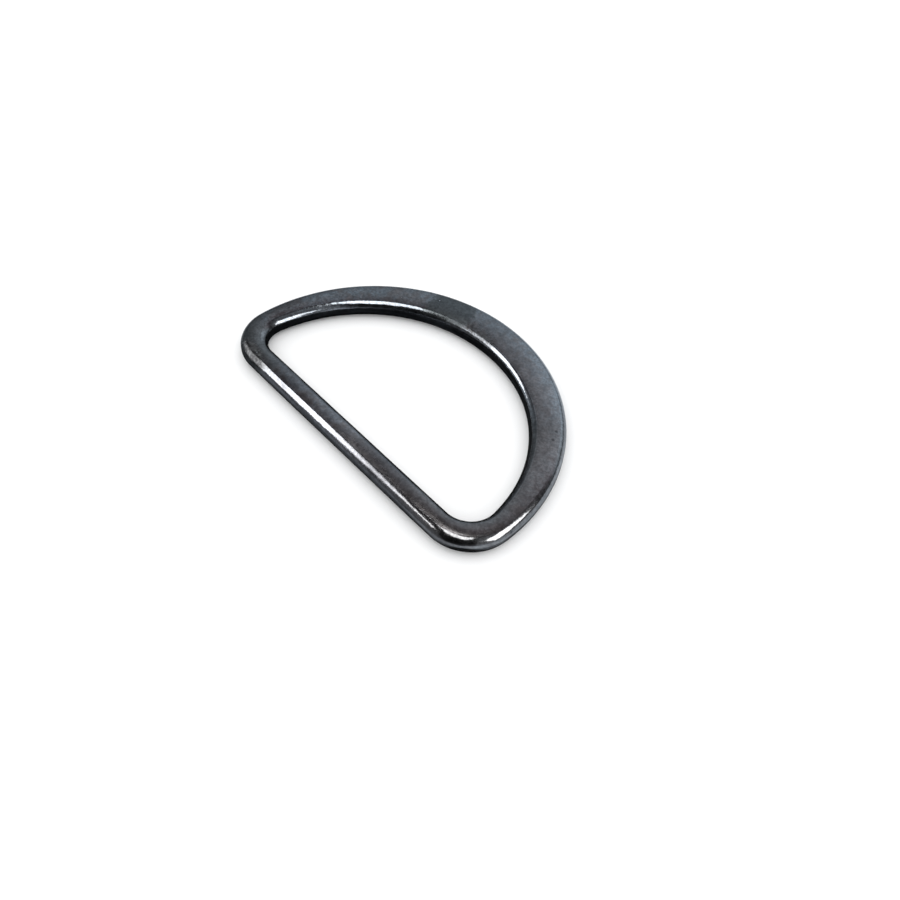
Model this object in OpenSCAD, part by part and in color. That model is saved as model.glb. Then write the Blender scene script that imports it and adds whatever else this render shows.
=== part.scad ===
// D ring for a strap: one cast piece, with a straight bar, two rounded corners and a crescent bow.
// It lies flat, with the bar at -Y, the crest of the bow at +Y and its underside at z = 0.
// Sizes are in millimetres.

/* [Opening] */
// Clear width across the inside of the bow, at its widest
opening_w = 38; // [30:0.5:50]
// Clear height of the opening, from the bar to the crest of the bow
opening_h = 20.2; // [17:0.1:28]
// Radius of the two inside corners, beside the bar
inner_corner_r = 3.2; // [2:0.1:5]

/* [Metal] */
// Width of the straight bar, seen from above
bar_w = 3.1; // [2.8:0.1:6]
// Width of the metal beside the widest part of the opening
side_w = 3; // [2.8:0.1:6]
// Width of the bow at its crest, opposite the bar
crest_w = 4.9; // [3:0.1:8]
// Thickness of the ring
ring_t = 2.5; // [1.6:0.1:4]
// Radius of the two outside corners, beside the bar
outer_corner_r = 5.8; // [4.5:0.1:7]
// Radius that every edge is rounded to
edge_r = 1.2; // [0.4:0.05:1.2]

/* [Hidden] */
$fn = 96;
// Narrowest flat band that the rounding leaves around the middle of an edge, at the mould's parting line
parting_band = 0.1;
// Depth by which each rounded edge runs into the flat plate between the two edges
lap = 0.2;
// Bow arcs: the inner and outer centres differ, so that the bow swells towards its crest
inner_bow_r = opening_w / 2;
inner_bow_y = bar_w + opening_h - inner_bow_r;
ring_h = bar_w + opening_h + crest_w;
outer_bow_r = inner_bow_r + side_w;
outer_bow_y = ring_h - outer_bow_r;
inner_corner = [corner_x(inner_bow_r, inner_bow_y, inner_corner_r, bar_w), bar_w + inner_corner_r];
outer_corner = [corner_x(outer_bow_r, outer_bow_y, outer_corner_r, 0), outer_corner_r];
// Angles round a corner, from the bar to the bow, at which the width of its metal is taken
corner_angles = [-90:15:0];
corner_widths = [
  for (angle = corner_angles)
    norm(outer_corner + outer_corner_r * [cos(angle), sin(angle)] - inner_corner) - inner_corner_r
];
// Rounding of the edges, as far as the thinnest metal has room for it
narrowest_w = min(bar_w, side_w, crest_w, min(corner_widths));
roll = to_micron(min(edge_r, (ring_t - parting_band) / 2, (narrowest_w - lap) / 2));
// Length that clears the whole ring, for cutting blocks
reach = 4 * outer_bow_r;

// Length to the nearest micron
function to_micron(length) = round(length * 1000) / 1000;

// Offset in X of a corner's centre, from which its arc runs into the bow and the bar without a kink
function corner_x(bow_r, bow_y, corner_r, bar_y) =
  sqrt(pow(bow_r - corner_r, 2) - pow(bow_y - bar_y - corner_r, 2));

// Slope of the line through the centres of bow and corner, on which their two arcs meet
function seam_slope(bow_r, bow_y, corner_r, bar_y) =
  (bar_y + corner_r - bow_y) / corner_x(bow_r, bow_y, corner_r, bar_y);

// Moves along X in a coarse and a fine step, so that arcs that touch do so to a millionth of a millimetre
module shift_x(distance) {
  coarse = to_micron(distance);
  translate([coarse, 0, 0]) translate([distance - coarse, 0, 0]) children();
}

// Section of a rounded edge, with its round side towards +X and its flats ending at x = 0
module edge_section() {
  translate([-lap, 0]) square([lap, ring_t]);
  intersection() {
    union() {
      translate([0, roll]) circle(roll);
      translate([0, ring_t - roll]) circle(roll);
      translate([0, roll]) square([roll, ring_t - 2 * roll]);
    }
    square([roll, ring_t]);
  }
}

// The section with its round side on an outline at outline_x: round the metal or, inward, round the opening
module edge_at(outline_x, inward) {
  if (inward)
    translate([outline_x + roll, 0]) mirror([1, 0]) edge_section();
  else
    translate([outline_x - roll, 0]) edge_section();
}

// Block of all that lies at +X of the middle
module right_side() {
  translate([0, -reach, -ring_t]) cube([reach, 2 * reach, 3 * ring_t]);
}

// Block of all that lies beyond a sloping line through the bow's centre
module beyond(bow_y, slope) {
  translate([0, bow_y, -ring_t])
    linear_extrude(3 * ring_t)
      polygon([[-reach, -reach * slope], [reach, reach * slope], [reach, reach], [-reach, reach]]);
}

// Half of the rounded edge along one outline: its share of the bow, a corner and half the bar, end to end
module half_edge(bow_r, bow_y, corner_r, bar_y, inward) {
  corner_dx = corner_x(bow_r, bow_y, corner_r, bar_y);
  corner_y = bar_y + corner_r;
  slope = seam_slope(bow_r, bow_y, corner_r, bar_y);
  intersection() {
    right_side();
    union() {
      intersection() {
        translate([0, bow_y, 0]) rotate_extrude() edge_at(bow_r, inward);
        beyond(bow_y, slope);
      }
      difference() {
        shift_x(corner_dx) intersection() {
          translate([0, corner_y, 0]) rotate_extrude() edge_at(corner_r, inward);
          right_side();
        }
        beyond(bow_y, slope);
      }
      shift_x(corner_dx)
        translate([-reach, bar_y, 0])
          rotate([90, 0, 90]) linear_extrude(reach) mirror([1, 0]) edge_at(0, inward);
    }
  }
}

// Rounded edge all the way round one outline
module whole_edge(bow_r, bow_y, corner_r, bar_y, inward) {
  for (side = [0, 1])
    mirror([side, 0, 0]) half_edge(bow_r, bow_y, corner_r, bar_y, inward);
}

// Plan of an outline drawn in by inset, with slightly smaller corners so that its arcs cross cleanly
module inset_plan(bow_r, bow_y, corner_r, bar_y, inset) {
  corner_dx = corner_x(bow_r, bow_y, corner_r, bar_y);
  corner_y = bar_y + corner_r;
  side_y = bow_y + reach * seam_slope(bow_r, bow_y, corner_r, bar_y);
  intersection() {
    translate([0, bow_y]) circle(bow_r - inset);
    polygon([
      [-corner_dx, bar_y + inset], [corner_dx, bar_y + inset], [corner_dx, corner_y],
      [reach, side_y], [reach, reach], [-reach, reach], [-reach, side_y],
      [-corner_dx, corner_y]
    ]);
  }
  for (side = [-1, 1])
    translate([side * corner_dx, corner_y]) circle(corner_r - inset - lap / 3);
}

// Flat plate between the two rounded edges, whose walls end inside their laps
module plate() {
  linear_extrude(ring_t)
    difference() {
      inset_plan(outer_bow_r, outer_bow_y, outer_corner_r, 0, roll + lap / 3);
      inset_plan(inner_bow_r, inner_bow_y, inner_corner_r, bar_w, -roll - 2 * lap / 3);
    }
}

module d_ring() {
  color("#4b5058")
    translate([0, -ring_h / 2, 0]) {
      plate();
      whole_edge(outer_bow_r, outer_bow_y, outer_corner_r, 0, false);
      whole_edge(inner_bow_r, inner_bow_y, inner_corner_r, bar_w, true);
    }
}

d_ring();
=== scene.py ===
import math
import bpy
from mathutils import Matrix, Vector, noise


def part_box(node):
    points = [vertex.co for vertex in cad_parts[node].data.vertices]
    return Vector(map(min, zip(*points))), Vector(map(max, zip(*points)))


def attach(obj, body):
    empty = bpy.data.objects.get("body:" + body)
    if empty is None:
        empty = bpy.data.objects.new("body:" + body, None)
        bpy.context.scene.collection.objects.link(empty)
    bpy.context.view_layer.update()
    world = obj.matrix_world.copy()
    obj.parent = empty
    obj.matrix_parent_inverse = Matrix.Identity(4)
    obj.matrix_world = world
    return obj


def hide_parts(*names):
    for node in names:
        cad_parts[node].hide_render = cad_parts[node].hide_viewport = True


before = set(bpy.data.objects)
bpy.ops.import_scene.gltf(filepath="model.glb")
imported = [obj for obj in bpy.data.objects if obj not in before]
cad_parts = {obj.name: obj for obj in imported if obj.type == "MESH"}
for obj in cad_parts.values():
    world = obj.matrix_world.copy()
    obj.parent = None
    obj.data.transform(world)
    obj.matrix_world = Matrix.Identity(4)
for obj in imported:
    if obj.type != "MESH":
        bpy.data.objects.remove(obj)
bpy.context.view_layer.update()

# The ring
# One casting in zinc alloy: a straight bar for the strap, two rounded corners and a crescent bow. It is
# tumbled, which rounds its edges and crowns its faces a little, and plated in gunmetal.
MM = 0.001
low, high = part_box("d_ring")
opening_w = 38 * MM
opening_h = 20.2 * MM
bar_w = 3.1 * MM
outer_corner_r = 5.8 * MM
inner_corner_r = 3.2 * MM
outer_bow_r = (high.x - low.x) / 2
outer_bow_y = high.y - outer_bow_r
inner_bow_r = opening_w / 2
inner_bar_y = low.y + bar_w
half_t = (high.z - low.z) / 2
mid_z = (high.z + low.z) / 2
# Rounding of the edges, and the tilt at which it runs into the crowned faces
edge_r = 1.13 * MM
crown_tilt = math.radians(7.5)
# The outer edge is worn wider round each corner, where the bar ends: by what share, how far out from the
# ring's middle, how far to each side of that, and up to what height
corner_wear = 0.4
corner_wear_x = 17 * MM
corner_wear_reach = 5 * MM
corner_wear_top = -8 * MM
# The inner edge is left narrower on the crest: by what share, where, and how far to each side
crest_wear = -0.3
crest_wear_x = 2 * MM
crest_wear_reach = 11 * MM
# Slow unevenness that tumbling leaves in the metal: its depth, and the length of its waves
ripple_depth = 0.02 * MM
ripple_l = 5 * MM
# Steps along half the bar, round a corner, along half the bow, and across a rounded edge and a face
bar_steps = 44
corner_steps = 30
bow_steps = 124
edge_steps = 14
face_steps = 12
quarter_turn = math.pi / 2
full_turn = 2 * math.pi


def outline(bow_r, bow_y, corner_r, bar_y):
    """Points of an outline, each with the angle of its normal, from the middle of the bar and round."""
    corner_y = bar_y + corner_r
    corner_x = math.sqrt((bow_r - corner_r) ** 2 - (corner_y - bow_y) ** 2)
    seam = math.atan2(corner_y - bow_y, corner_x)
    half = []
    for i in range(bar_steps):
        half.append((corner_x * i / bar_steps, bar_y, -quarter_turn))
    for i in range(corner_steps):
        angle = -quarter_turn + (seam + quarter_turn) * i / corner_steps
        half.append((corner_x + corner_r * math.cos(angle), corner_y + corner_r * math.sin(angle), angle))
    for i in range(bow_steps + 1):
        angle = seam + (quarter_turn - seam) * i / bow_steps
        half.append((bow_r * math.cos(angle), bow_y + bow_r * math.sin(angle), angle))
    other = [(-x, y, math.pi - angle) for x, y, angle in reversed(half[1:-1])]
    return half + other


def rounded_edge(corner, side_z, reach):
    """Points up a rounded edge, from wall to face, reaching so many edge radii along the normal."""
    x, y, angle = corner
    points = []
    for i in range(edge_steps + 1):
        turn = (quarter_turn - crown_tilt) * i / edge_steps
        step_in = edge_r * (1 - math.cos(turn)) * reach
        z = side_z + edge_r * math.sin(turn)
        points.append(Vector((x + step_in * math.cos(angle), y + step_in * math.sin(angle), z)))
    return points


def upper_half(outer, inner, outer_wear, inner_wear):
    """Points over the top of one section, from the outer wall to the inner one."""
    width = math.dist(outer[:2], inner[:2])
    face_w = width - (2 + outer_wear + inner_wear) * edge_r * (1 - math.sin(crown_tilt))
    # The crown is a parabola that leaves each rounded edge at the crown's tilt
    crown_h = face_w * math.tan(crown_tilt) / 4
    side_z = half_t - crown_h - edge_r * math.cos(crown_tilt)
    outer_edge = rounded_edge(outer, side_z, -1 - outer_wear)
    inner_edge = rounded_edge(inner, side_z, 1 + inner_wear)
    face = []
    for i in range(1, face_steps):
        share = i / face_steps
        point = outer_edge[-1].lerp(inner_edge[-1], share)
        point.z += crown_h * 4 * share * (1 - share)
        face.append(point)
    return outer_edge + face + list(reversed(inner_edge))


def swell(distance, reach):
    """A number that is 1 at no distance and runs smoothly down to 0 at the reach."""
    return max(0, 1 - (distance / reach) ** 2) ** 2


outer_line = outline(outer_bow_r, outer_bow_y, outer_corner_r, low.y)
inner_line = outline(inner_bow_r, inner_bar_y + opening_h - inner_bow_r, inner_corner_r, inner_bar_y)
sections = []
for outer, inner in zip(outer_line, inner_line):
    outer_wear = 0
    inner_wear = 0
    if outer[1] < corner_wear_top:
        outer_wear = corner_wear * swell(abs(outer[0]) - corner_wear_x, corner_wear_reach)
    if inner[1] > 0:
        inner_wear = crest_wear * swell(inner[0] - crest_wear_x, crest_wear_reach)
    top = upper_half(outer, inner, outer_wear, inner_wear)
    under = [Vector((p.x, p.y, -p.z)) for p in reversed(top)]
    sections.append([Vector((p.x, p.y, p.z + mid_z)) for p in top + under])

stations = len(sections)
around = len(sections[0])
quads = []
for i in range(stations):
    this = i * around
    following = (i + 1) % stations * around
    for j in range(around):
        k = (j + 1) % around
        quads.append((this + j, following + j, following + k, this + k))

ring_mesh = bpy.data.meshes.new("ring")
ring_mesh.from_pydata([tuple(p) for section in sections for p in section], [], quads)
ring_mesh.validate()
ring_mesh.update()
ring_mesh.shade_smooth()
outward = [vertex.normal.copy() for vertex in ring_mesh.vertices]
for vertex, normal in zip(ring_mesh.vertices, outward):
    wave = noise.noise(vertex.co / ripple_l)
    vertex.co -= normal * ripple_depth * (1 + wave) / 2
ring_mesh.update()


def runs_round(points):
    """How far each point lies along a closed line, and last the whole way round."""
    runs = [0.0]
    for here, following in zip(points, points[1:] + points[:1]):
        runs.append(runs[-1] + (following - here).length)
    return runs


# Coordinates that follow the metal, round a circle as long as the ring's own loop and round each section
middles = [(Vector(outer[:2]) + Vector(inner[:2])) / 2 for outer, inner in zip(outer_line, inner_line)]
along = runs_round(middles)
loop_r = along[-1] / full_turn
flow = []
across = []
for section, run in zip(sections, along):
    lap = run / loop_r
    steps = runs_round(section)
    girth_r = steps[-1] / full_turn
    for step in steps[:-1]:
        swing = step / girth_r
        flow.extend((loop_r * math.cos(lap), loop_r * math.sin(lap), girth_r * math.cos(swing)))
        across.append(girth_r * math.sin(swing))
ring_mesh.attributes.new("flow", "FLOAT_VECTOR", "POINT").data.foreach_set("vector", flow)
ring_mesh.attributes.new("across", "FLOAT", "POINT").data.foreach_set("value", across)

# Dark gunmetal plating over nickel: satin on the tumbled faces, brighter on the rounded edges, with cloudy
# tints, a dull tarnished patch on the crest, small pits, and fine streaks that run with the metal. Some
# paler and darker clouds and the streaks on the walls are partly painted reflection and painted shade.
blue_grey = (0.246, 0.271, 0.296, 1)
violet_grey = (0.252, 0.262, 0.284, 1)
neutral_grey = (0.268, 0.270, 0.273, 1)
brown_grey = (0.205, 0.186, 0.184, 1)
corner_grey = (0.219, 0.224, 0.228, 1)
tarnish_grey = (0.122, 0.134, 0.140, 1)
scuff_grey = (0.104, 0.103, 0.106, 1)
end_grey = (0.036, 0.036, 0.037, 1)
dark_mark = (0.05, 0.055, 0.06, 1)
bare_nickel = (0.6, 0.63, 0.65, 1)

metal = bpy.data.materials.new("gunmetal")
metal.use_nodes = True
plating = metal.node_tree
shader = plating.nodes["Principled BSDF"]


def node(tree, kind, inputs=None, **settings):
    """A shader node with its settings made, and its inputs set or joined to other nodes' sockets."""
    made = tree.nodes.new("ShaderNode" + kind)
    for name, value in settings.items():
        setattr(made, name, value)
    for key, value in (inputs or {}).items():
        if isinstance(value, bpy.types.NodeSocket):
            tree.links.new(value, made.inputs[key])
        else:
            made.inputs[key].default_value = value
    return made


def calc(operation, first, second=0.0):
    """Two numbers put together by a sum, a product or the like."""
    return node(plating, "Math", {0: first, 1: second}, operation=operation).outputs[0]


def fade(value, start, end, to_start=0.0, to_end=1.0):
    """A smooth change from one number to another while the value goes from start to end."""
    limits = {"Value": value, "From Min": start, "From Max": end, "To Min": to_start, "To Max": to_end}
    return node(plating, "MapRange", limits, interpolation_type="SMOOTHSTEP").outputs["Result"]


def tint(share, first, second):
    """The first colour going over to the second by the share."""
    # A Mix node takes its two colours at inputs 6 and 7 and gives the result at output 2
    return node(plating, "Mix", {0: share, 6: first, 7: second}, data_type="RGBA").outputs[2]


def shaded(colour, brightness):
    """The colour made brighter or darker."""
    return node(plating, "VectorMath", {0: colour, "Scale": brightness}, operation="SCALE").outputs[0]


surface = node(plating, "TexCoord")
place = surface.outputs["Object"]
coordinates = node(plating, "SeparateXYZ", {0: place})
facing_up = node(plating, "SeparateXYZ", {0: surface.outputs["Normal"]}).outputs["Z"]
flow_vector = node(plating, "Attribute", attribute_name="flow").outputs["Vector"]
across_value = node(plating, "Attribute", attribute_name="across").outputs["Fac"]


def clouds(size, detail=2):
    """Soft noise in space, with blobs about as long as the size."""
    look = {"Vector": place, "Scale": 1 / size, "Detail": detail}
    return node(plating, "TexNoise", look).outputs["Fac"]


def streaks(size_along, size_across, detail=2):
    """Noise that runs with the metal, long along the ring and short across it."""
    shrink = (1 / size_along, 1 / size_along, 1 / size_across)
    stretched = node(plating, "VectorMath", {0: flow_vector, 1: shrink}, operation="MULTIPLY").outputs[0]
    sideways = calc("MULTIPLY", across_value, 1 / size_across)
    look = {"Vector": stretched, "W": sideways, "Scale": 1, "Detail": detail}
    return node(plating, "TexNoise", look, noise_dimensions="4D").outputs["Fac"]


def sway(noise_value, width):
    """Noise made to swing evenly to both sides of nought, over the width."""
    return calc("MULTIPLY", calc("SUBTRACT", noise_value, 0.5), width)


def reach_from(x, y):
    """How far the surface lies from a point of the top face, given in millimetres."""
    ends = {0: place, 1: (x * MM, y * MM, high.z)}
    return node(plating, "VectorMath", ends, operation="DISTANCE").outputs["Value"]


# Masks by the way the surface faces: 1 on both faces and 0 on the rounded edges, 1 on all that looks up,
# and 1 on the walls
steepness = calc("ABSOLUTE", facing_up)
on_face = fade(steepness, start=0.93, end=0.995)
on_top = fade(facing_up, start=0.5, end=0.75)
on_wall = fade(steepness, start=0.3, end=0.75, to_start=1, to_end=0)


def by_edge_and_face(edges, faces):
    """One number on the rounded edges going over to another on the faces."""
    return fade(on_face, 0, 1, edges, faces)


# Tints: blue on the bow, violet on the bar and plain grey towards the right side
drift = clouds(size=9 * MM)
up_ring = calc("ADD", coordinates.outputs["Y"], sway(drift, width=14 * MM))
to_side = calc("ADD", coordinates.outputs["X"], sway(drift, width=20 * MM))
bow_share = fade(up_ring, start=-11 * MM, end=-5 * MM)
side_share = fade(to_side, start=7 * MM, end=18 * MM, to_start=0, to_end=0.85)
side_tint = tint(side_share, tint(bow_share, violet_grey, blue_grey), neutral_grey)

# Brown blotches all over, and more brown along the inner side of the bow, from its crest to the right
blotches = clouds(size=1.8 * MM, detail=3)
bow_middle = (0, outer_bow_y, 0)
from_bow_middle = node(plating, "VectorMath", {0: place, 1: bow_middle}, operation="SUBTRACT").outputs[0]
level = node(plating, "VectorMath", {0: from_bow_middle, 1: (1, 1, 0)}, operation="MULTIPLY").outputs[0]
bow_reach = node(plating, "VectorMath", {0: level}, operation="LENGTH").outputs["Value"]
ragged_bow_reach = calc("ADD", bow_reach, sway(blotches, width=4 * MM))
inner_brown = fade(ragged_bow_reach, start=18.9 * MM, end=21.3 * MM, to_start=0.6, to_end=0)
right_brown = fade(to_side, start=-6 * MM, end=4 * MM)
blotch_brown = fade(blotches, start=0.47, end=0.66, to_start=0, to_end=0.7)
less_on_edges = by_edge_and_face(edges=0.35, faces=1)
brown = calc("MAXIMUM", calc("MULTIPLY", inner_brown, right_brown), blotch_brown)
blotched = tint(calc("MULTIPLY", brown, less_on_edges), side_tint, brown_grey)
small_brown = fade(clouds(size=0.6 * MM), start=0.42, end=0.6, to_start=0, to_end=0.38)
clouded = tint(calc("MULTIPLY", small_brown, less_on_edges), blotched, brown_grey)

# Mottling and specks
mottle = clouds(size=0.7 * MM, detail=3)
specks = clouds(size=0.26 * MM)
mottle_shade = fade(mottle, start=0.3, end=0.7, to_start=0.87, to_end=1.13)
speck_shade = fade(specks, start=0.3, end=0.7, to_start=0.83, to_end=1.17)
shade = calc("MULTIPLY", mottle_shade, speck_shade)

# Paler and darker clouds in the plating's colour: partly its own uneven tone, and partly painted reflection
# and painted shade where the metal mirrors more or less light. For each: where it lies and how far it
# reaches, in millimetres, and how much paler it is. It is whole over a share of its reach, and its rim sways
# in and out.
whole_share = 0.3
cloud_sway = 5 * MM
tone_and_painted_light_clouds = (
    (-19, 0.5, 6, 0.17),
    (-12, -13, 6, -0.12),
    (-1, -12.6, 7, 0.22),
    (4.8, -12.8, 3.5, -0.17),
    (9, -13.5, 6, -0.18),
    (17.8, -12.4, 3.5, -0.14),
    (17.5, 0.5, 5, 0.15),
    (10, 8.5, 6, 0.19),
    (2.8, 10.6, 3.5, 0.14),
    (-0.5, 11.5, 5.5, -0.13),
)
for x, y, reach, paler in tone_and_painted_light_clouds:
    ragged_reach = calc("ADD", reach_from(x, y), sway(blotches, cloud_sway))
    cloud_shade = fade(ragged_reach, whole_share * reach * MM, reach * MM, to_start=1 + paler, to_end=1)
    shade = calc("MULTIPLY", shade, cloud_shade)

rim_noise = clouds(size=1.3 * MM, detail=3)
raggedness = 0.9


def inside_place(middle, half, turn_deg):
    """Coordinates that are 0 in the middle of an oval place and 1 long at its rim, from millimetres."""
    x, y = middle
    oval = {
        "Vector": place,
        "Location": (x * MM, y * MM, high.z),
        "Rotation": (0, 0, math.radians(turn_deg)),
        "Scale": [length * MM for length in half],
    }
    return node(plating, "Mapping", oval, vector_type="TEXTURE").outputs[0]


def ragged_mask(inside, softness):
    """A mask that is 1 inside a place and 0 outside it, with a ragged rim."""
    reach = node(plating, "VectorMath", {0: inside}, operation="LENGTH").outputs["Value"]
    ragged = calc("ADD", reach, sway(rim_noise, raggedness))
    return fade(ragged, 1 - softness, 1 + softness, to_start=1, to_end=0)


def dull_place(middle, half, turn_deg, softness):
    """The ragged mask of an oval place."""
    return ragged_mask(inside_place(middle, half, turn_deg), softness)


# Places: the left corner, which is only darker in colour, and places where the plating has gone dull: a
# tarnished patch on the crest, and scuffs on the inner edge beside the patch, at the left end of the bar and
# on the bar's edge
left_corner = dull_place(middle=(-17, -11.6), half=(4.2, 3, 9), turn_deg=-35, softness=0.5)
inside_patch = inside_place(middle=(-6.9, 10.3), half=(3.1, 3.6, 2.6), turn_deg=21.7)
patch_run = node(plating, "SeparateXYZ", {0: inside_patch}).outputs["X"]
patch_strength = fade(patch_run, start=0.3, end=1, to_start=1, to_end=0.88)
patch = calc("MULTIPLY", ragged_mask(inside_patch, softness=0.08), patch_strength)
edge_scuff = dull_place(middle=(-2.6, 9.2), half=(3.6, 1.4, 1.6), turn_deg=4, softness=0.3)
end_scuff = dull_place(middle=(-16.9, -13.8), half=(2.8, 1.35, 2), turn_deg=-8, softness=0.25)
bar_scuff = dull_place(middle=(5, -14), half=(5.5, 1.5, 2), turn_deg=0, softness=0.5)
scuffs = calc("MAXIMUM", edge_scuff, end_scuff)
patch_on_top = calc("MULTIPLY", patch, on_top)
dull = calc("MULTIPLY", calc("MAXIMUM", patch, scuffs), on_top)

# Their colours. The scuffs are speckled, and the one at the end of the bar is nearly black on the edge.
bar_scuff_share = 0.35
scuff_specks = clouds(size=0.35 * MM)
scuff_speckle = fade(scuff_specks, start=0.3, end=0.62, to_start=1, to_end=0.35)
end_speckle = fade(scuff_specks, start=0.35, end=0.65, to_start=0.96, to_end=0.66)
end_share = calc("MULTIPLY", end_speckle, by_edge_and_face(edges=1, faces=0.25))
worn = calc("MAXIMUM", scuffs, calc("MULTIPLY", bar_scuff, bar_scuff_share))
# Darker towards the left corner
cornered = tint(left_corner, clouded, corner_grey)
scuffed = tint(calc("MULTIPLY", worn, scuff_speckle), cornered, scuff_grey)
end_scuffed = tint(calc("MULTIPLY", end_scuff, end_share), scuffed, end_grey)
tarnished = tint(patch_on_top, end_scuffed, tarnish_grey)
mottled = shaded(tarnished, shade)

# Pits: about three cells in ten have one, with a dark floor and a soft rim
pit_cell = 2 * MM
pit_share = 0.6
pit_cells = node(plating, "TexVoronoi", {"Vector": place, "Scale": 1 / pit_cell})
pit_choice = node(plating, "SeparateColor", {0: pit_cells.outputs["Color"]}).outputs["Red"]
picked = fade(pit_choice, start=0.68, end=0.7)
pit_hollow = fade(pit_cells.outputs["Distance"], start=0.05, end=0.13, to_start=1, to_end=0)
pit = calc("MULTIPLY", pit_hollow, picked)


def spots(middles, full_r, rim_r):
    """A mask of round spots on the top face, whole to one radius and gone at the other, in millimetres."""
    nearest = reach_from(*middles[0])
    for x, y in middles[1:]:
        nearest = calc("MINIMUM", nearest, reach_from(x, y))
    return fade(nearest, full_r * MM, rim_r * MM, to_start=1, to_end=0)


# Marks on the top face: bright nicks with a dark rim, in the dull patch and on the left corner, and three
# small dark dots on the right
nicks = ((-9, 10.1), (-16.1, -12.9))
dots = ((16.4, 4.3), (15.8, 5.5), (15.8, 6.6))
rim_share = 0.7
dot_share = 0.72
nick_rims = calc("MULTIPLY", spots(nicks, full_r=0.14, rim_r=0.3), rim_share)
dark_dots = calc("MULTIPLY", spots(dots, full_r=0.08, rim_r=0.27), dot_share)
mark = calc("MAXIMUM", nick_rims, dark_dots)
marked = tint(calc("MAXIMUM", mark, calc("MULTIPLY", pit, pit_share)), mottled, dark_mark)
nicked = tint(spots(nicks, full_r=0.05, rim_r=0.12), marked, bare_nickel)

# Long streaks on the walls, darker and paler in colour: partly lines in the metal and partly painted
# reflection
wall_streaks = streaks(size_along=9 * MM, size_across=0.3 * MM)
streak_shade = fade(wall_streaks, start=0.35, end=0.65, to_start=0.6, to_end=1.5)
wall_lines_and_reflection = calc("ADD", 1, calc("MULTIPLY", on_wall, calc("SUBTRACT", streak_shade, 1)))
plating.links.new(shaded(nicked, wall_lines_and_reflection), shader.inputs["Base Color"])

# Roughness: satin faces and brighter edges, both uneven, and rougher where the plating is dull
mottle_roughness = 0.12
grain_roughness = 0.08
scuff_roughness = 0.16
bar_scuff_roughness = 0.08
grain = clouds(size=0.13 * MM)
base_roughness = by_edge_and_face(edges=0.14, faces=0.23)
uneven = calc("ADD", base_roughness, sway(mottle, mottle_roughness))
grainy = calc("ADD", uneven, sway(grain, grain_roughness))
tarnish_roughness = calc("MULTIPLY", patch_on_top, by_edge_and_face(edges=0.06, faces=0.13))
scuff_part = calc("MULTIPLY", scuffs, scuff_roughness)
bar_part = calc("MULTIPLY", bar_scuff, bar_scuff_roughness)
dulled = calc("ADD", tarnish_roughness, calc("MULTIPLY", calc("MAXIMUM", scuff_part, bar_part), on_top))
plating.links.new(calc("ADD", grainy, dulled), shader.inputs["Roughness"])

# Relief, in microns: waves and notches in the tumbled metal, deepest on the rounded edges, fine streaks,
# grain on the faces, and the marks and pits
MICRON = 1e-6
pit_depth = 4
waves = calc("MULTIPLY", clouds(size=1.4 * MM), by_edge_and_face(edges=30, faces=8))
notches = calc("MULTIPLY", clouds(size=0.8 * MM, detail=1), by_edge_and_face(edges=14, faces=1))
dull_streaks = calc("MULTIPLY", dull, by_edge_and_face(edges=12, faces=0))
streak_depth = calc("ADD", by_edge_and_face(edges=5, faces=2), dull_streaks)
fine_streaks = calc("MULTIPLY", streaks(size_along=2.5 * MM, size_across=0.16 * MM), streak_depth)
fine_grain = calc("MULTIPLY", grain, by_edge_and_face(edges=1.5, faces=3))
sunk = calc("MULTIPLY", calc("MAXIMUM", mark, pit), pit_depth)
uneven_relief = calc("ADD", calc("ADD", waves, notches), fine_streaks)
relief = calc("ADD", uneven_relief, calc("SUBTRACT", fine_grain, sunk))
bump = node(plating, "Bump", {"Strength": 1, "Distance": MICRON, "Height": relief})
plating.links.new(bump.outputs["Normal"], shader.inputs["Normal"])
shader.inputs["Metallic"].default_value = 1
ring_mesh.materials.append(metal)

ring = bpy.data.objects.new("ring", ring_mesh)
bpy.context.scene.collection.objects.link(ring)
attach(ring, "root")
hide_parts("d_ring")

# The floor
# A plain sheet of white card, lit evenly. What the metal mirrors of it is painted darker: nearly black
# within the ring as painted shadow, dark grey to its left as painted shade and paler to its right, where the
# light comes in.
floor_half = 8000 * MM
card_white = (0.90, 0.905, 0.91, 1)
# The mirrored card's tone, and its greys within the ring, to the left and to the right: painted shadow and
# shade
mirrored_tone = (0.93, 1.0, 1.08)
shadow_within_grey = 0.02
left_grey = 0.18
right_grey = 0.52
# The way to the right in the photograph, and where along it the left grey ends and the right one begins
to_right = Vector((0.684, 0.729, 0))
left_end = -10 * MM
right_start = 16 * MM
# How far past the bow and the bar the painted shadow within the ring fades out
bow_fade = 1.2 * MM
bar_fade = 1.5 * MM

sheet = [(x * floor_half, y * floor_half, low.z) for x, y in ((-1, -1), (1, -1), (1, 1), (-1, 1))]
floor_mesh = bpy.data.meshes.new("floor")
floor_mesh.from_pydata(sheet, [], [(0, 1, 2, 3)])
card = bpy.data.materials.new("card")
card.use_nodes = True
card_tree = card.node_tree
card_place = node(card_tree, "TexCoord").outputs["Object"]


def card_range(value, start, end, to_start=0.0, to_end=1.0):
    """An even change from one number to another while the value goes from start to end."""
    limits = {"Value": value, "From Min": start, "From Max": end, "To Min": to_start, "To Max": to_end}
    return node(card_tree, "MapRange", limits).outputs[0]


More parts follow.
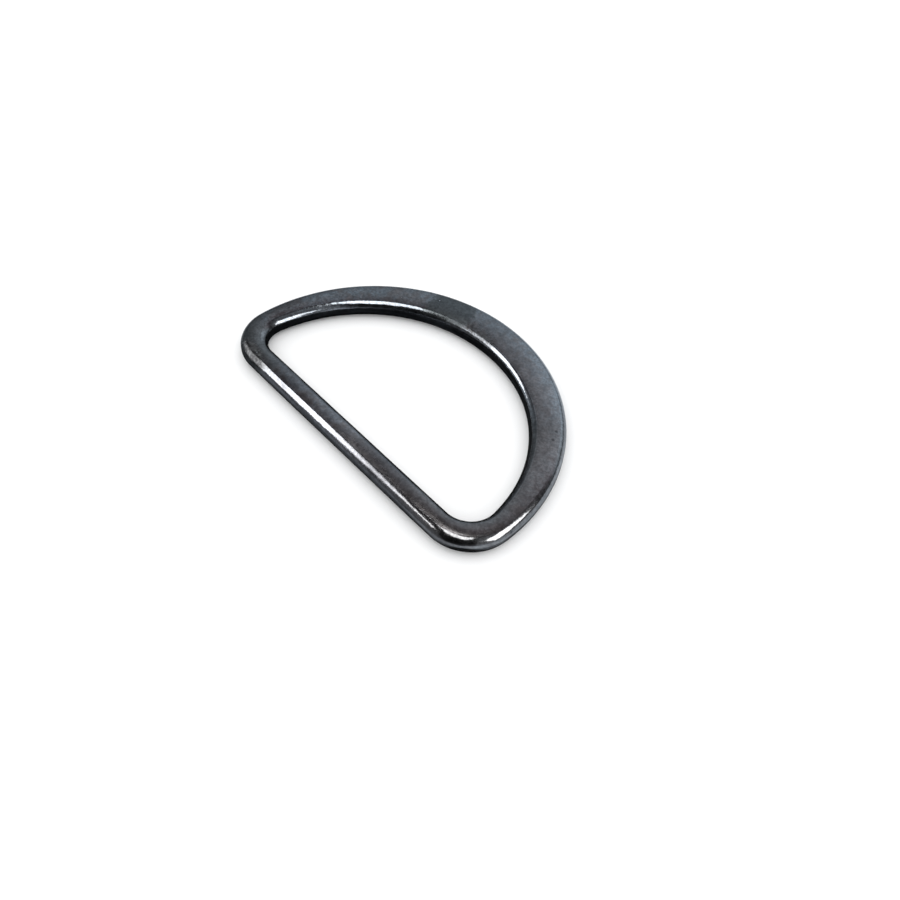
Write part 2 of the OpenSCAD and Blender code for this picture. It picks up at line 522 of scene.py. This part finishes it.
under_bow_middle = {0: card_place, 1: (0, outer_bow_y, low.z)}
card_reach = node(card_tree, "VectorMath", under_bow_middle, operation="DISTANCE").outputs["Value"]
card_y = node(card_tree, "SeparateXYZ", {0: card_place}).outputs["Y"]
past_bow = card_range(card_reach, outer_bow_r, outer_bow_r + bow_fade)
past_bar = card_range(card_y, low.y, low.y - bar_fade)
outside = node(card_tree, "Math", {0: past_bow, 1: past_bar}, operation="MAXIMUM").outputs[0]
rightward = {0: card_place, 1: to_right}
card_right = node(card_tree, "VectorMath", rightward, operation="DOT_PRODUCT").outputs["Value"]
outside_grey = card_range(card_right, left_end, right_start, left_grey, right_grey)
card_grey = card_range(outside, 0, 1, shadow_within_grey, outside_grey)
toned_grey = {0: mirrored_tone, "Scale": card_grey}
card_tone = node(card_tree, "VectorMath", toned_grey, operation="SCALE").outputs[0]
mirrored_card = node(card_tree, "BsdfDiffuse", {"Color": card_tone}).outputs[0]
lit_card = node(card_tree, "BsdfDiffuse", {"Color": card_white}).outputs[0]
in_metal = node(card_tree, "LightPath").outputs["Is Glossy Ray"]
card_mix = node(card_tree, "MixShader", {0: in_metal, 1: lit_card, 2: mirrored_card})
card_tree.links.new(card_mix.outputs[0], card_tree.nodes["Material Output"].inputs["Surface"])
floor_mesh.materials.append(card)
floor = bpy.data.objects.new("floor", floor_mesh)
bpy.context.scene.collection.objects.link(floor)

# The lights
# A white room with three soft boxes close to the ring, to the left, overhead and to the right, which only
# the metal mirrors. It mirrors the room as pale behind the ring, dim overhead and dark round the camera.
room_brightness = 1.34
# The way to the camera along the floor, and the way up
to_camera = Vector((0.729, -0.684, 0))
up = Vector((0, 0, 1))


def soft_box(name, shape, brightness, distance, lean_deg, side_deg, roll_deg, wide, tall):
    """A lamp that faces the ring, placed by its lean to the camera and its swing to the right."""
    lean = math.radians(lean_deg)
    swing = math.radians(side_deg)
    overhead = to_camera * math.sin(lean) + up * math.cos(lean)
    way = to_right * math.sin(swing) + overhead * math.cos(swing)
    along_lean = to_camera * math.cos(lean) - up * math.sin(lean)
    facing_ring = Matrix((along_lean, way.cross(along_lean), way)).transposed()
    turned = facing_ring @ Matrix.Rotation(math.radians(roll_deg), 3, "Z")
    lamp = bpy.data.lights.new(name, "AREA")
    lamp.shape = shape
    lamp.size = wide
    lamp.size_y = tall
    # A lamp's power is its brightness times pi times its area, and an oval fills pi / 4 of its frame
    area = wide * tall * (math.pi / 4 if shape == "ELLIPSE" else 1)
    lamp.energy = brightness * math.pi * area
    holder = bpy.data.objects.new(name, lamp)
    holder.matrix_world = Matrix.Translation(way * distance) @ turned.to_4x4()
    holder.visible_camera = False
    holder.visible_diffuse = False
    bpy.context.scene.collection.objects.link(holder)


soft_box(
    "left_box",
    "RECTANGLE",
    brightness=4.6,
    distance=168 * MM,
    lean_deg=-7,
    side_deg=-57.5,
    roll_deg=-25,
    wide=112 * MM,
    tall=113 * MM,
)
soft_box(
    "top_box",
    "ELLIPSE",
    brightness=4.3,
    distance=219 * MM,
    lean_deg=8.5,
    side_deg=-7.5,
    roll_deg=8,
    wide=160 * MM,
    tall=97 * MM,
)
soft_box(
    "right_box",
    "RECTANGLE",
    brightness=4.8,
    distance=97 * MM,
    lean_deg=47.5,
    side_deg=45,
    roll_deg=-37,
    wide=64 * MM,
    tall=55 * MM,
)

world = bpy.data.worlds.new("room")
world.use_nodes = True
bpy.context.scene.world = world
room = world.node_tree
way_out = node(room, "TexCoord").outputs["Generated"]
half_turn_deg = 180


def share_of(axis):
    """How far a direction in the room runs along an axis."""
    return node(room, "VectorMath", {0: way_out, 1: axis}, operation="DOT_PRODUCT").outputs["Value"]


def ramp(share, stops):
    """A colour ramp over half a turn. Its stops give an angle from -90 to 90, a brightness and a tone."""
    made = node(room, "ValToRGB", {"Fac": share})
    elements = made.color_ramp.elements
    while len(elements) < len(stops):
        elements.new(0.5)
    for element, (angle, brightness, tone) in zip(elements, stops):
        element.position = 0.5 + angle / half_turn_deg
        element.color = [brightness * part for part in tone] + [1]
    return made.outputs["Color"]


def half_turn_share(angle):
    """An angle from a quarter turn back to a quarter turn forward, as a share from 0 to 1."""
    limits = {"Value": angle, "From Min": -quarter_turn, "From Max": quarter_turn}
    return node(room, "MapRange", limits).outputs[0]


lean_ends = {0: share_of(to_camera), 1: share_of(up)}
lean_angle = node(room, "Math", lean_ends, operation="ARCTAN2").outputs[0]
swing_angle = node(room, "Math", {0: share_of(to_right)}, operation="ARCSINE").outputs[0]
lean_share = half_turn_share(lean_angle)
swing_share = half_turn_share(swing_angle)
cool = (0.9, 1.0, 1.06)
plain = (0.98, 1.0, 1.05)
warm = (1.08, 0.96, 1.02)
# Brightness from the horizon behind the ring, over the top, to the horizon on the camera's side
by_lean = ramp(
    lean_share,
    [
        (-90, 0.17, cool),
        (-74, 0.27, cool),
        (-62, 0.48, cool),
        (-54, 0.54, cool),
        (-46, 0.51, cool),
        (-38, 0.36, plain),
        (-30, 0.165, warm),
        (-21, 0.05, warm),
        (-8, 0.04, plain),
        (30, 0.03, plain),
        (48, 0.004, plain),
        (68, 0.004, plain),
        (84, 0.15, plain),
    ],
)
# Brightness from the far left to the far right
by_side = ramp(
    swing_share,
    [
        (-60, 1.0, plain),
        (-45, 0.46, plain),
        (-35, 0.29, plain),
        (-28, 0.26, plain),
        (-12, 0.42, plain),
        (-4, 0.82, plain),
        (8, 1.14, plain),
        (22, 1.5, plain),
        (40, 1.6, plain),
        (52, 1.2, plain),
        (62, 0.6, plain),
        (74, 0.22, plain),
    ],
)
# A weak light on the camera's side, to the far left and to the right
near_fill = ramp(
    swing_share,
    [
        (-60, 0.2, plain),
        (-42, 0, plain),
        (10, 0, plain),
        (17, 0.22, plain),
        (26, 0.17, plain),
    ],
)
# The shares of the way over the top where this light begins and where it is whole
near_start = 0.41
near_whole = 0.52
near_limits = {"Value": lean_share, "From Min": near_start, "From Max": near_whole}
near_share = node(room, "MapRange", near_limits).outputs[0]
shaped = node(room, "VectorMath", {0: by_lean, 1: by_side}, operation="MULTIPLY").outputs[0]
fill = node(room, "VectorMath", {0: near_fill, "Scale": near_share}, operation="SCALE").outputs[0]
surroundings = node(room, "VectorMath", {0: shaped, 1: fill}, operation="ADD").outputs[0]
mirrored_room = node(room, "Background", {"Color": surroundings}).outputs[0]
white_room = room.nodes["Background"]
white_room.inputs["Color"].default_value = (1, 1, 1, 1)
white_room.inputs["Strength"].default_value = room_brightness
seen_in_metal = node(room, "LightPath").outputs["Is Glossy Ray"]
room_mix = node(room, "MixShader", {0: seen_in_metal, 1: white_room.outputs[0], 2: mirrored_room})
room.links.new(room_mix.outputs[0], room.nodes["World Output"].inputs["Surface"])
bpy.context.scene.view_settings.view_transform = "Standard"

# The camera
# Its place and angles are those of the photograph, worked out for the ring lying flat. The lens and the
# sensor are in millimetres, as Blender has them.
camera_place = (54.25 * MM, -50.88 * MM, 79.75 * MM)
camera_angles_deg = (39.29, -2.66, 47.53)
focal_length = 36.25
sensor_width = 36
nearest_seen = 5 * MM
camera_data = bpy.data.cameras.new("camera")
camera_data.lens = focal_length
camera_data.sensor_width = sensor_width
camera_data.clip_start = nearest_seen
camera = bpy.data.objects.new("camera", camera_data)
camera.location = camera_place
camera.rotation_euler = [math.radians(angle) for angle in camera_angles_deg]
bpy.context.scene.collection.objects.link(camera)
bpy.context.scene.camera = camera
